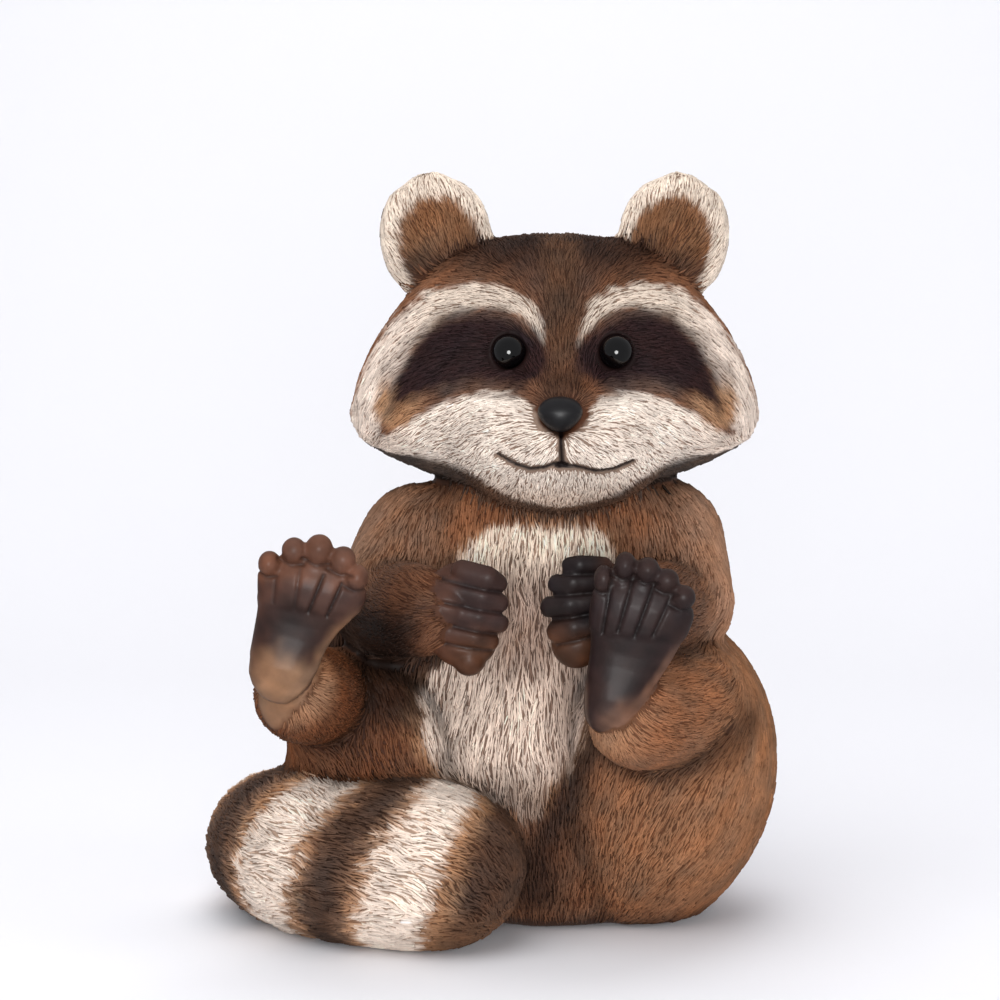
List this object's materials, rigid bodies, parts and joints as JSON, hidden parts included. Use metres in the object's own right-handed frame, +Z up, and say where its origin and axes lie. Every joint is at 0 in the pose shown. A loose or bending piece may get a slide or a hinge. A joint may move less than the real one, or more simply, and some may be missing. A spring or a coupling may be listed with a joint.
{
  "type": "cast resin raccoon figurine",
  "caption": "Cast and painted resin figurine of a raccoon that sits with its soles to the front, its hands at its chest and its ringed tail brought round one side.",
  "frame": {"origin": "on the surface that the figurine stands on, in the middle of the flat under its seat", "axes": "+Z up towards the ears; the face looks along -Y; +X is the animal's own left side"},
  "size_m": [0.2866, 0.2522, 0.3723],
  "materials": {
    "painted_fur": "cast resin carved as fur, hand painted in brown, near-black and cream, matt with dark paint left in the grooves",
    "dark_skin": "cast resin painted dark brown with a low sheen",
    "nose": "satin black paint",
    "eye": "glossy black"
  },
  "bodies": {
    "root": {"head": "painted_fur", "ear_left": "painted_fur", "ear_right": "painted_fur", "trunk": "painted_fur", "neck": "painted_fur", "tail_root": "painted_fur", "tail_middle": "painted_fur", "tail_tip": "painted_fur", "thigh_left": "painted_fur", "thigh_right": "painted_fur", "upper_arm_left": "painted_fur", "upper_arm_right": "painted_fur", "forearm_left": "painted_fur", "forearm_right": "painted_fur", "shank_left": "painted_fur", "shank_right": "painted_fur", "hand_left": "dark_skin", "hand_right": "dark_skin", "foot_left": "dark_skin", "foot_right": "dark_skin", "nose": "nose", "eye_left": "eye", "eye_right": "eye"}
  },
  "joints": []
}
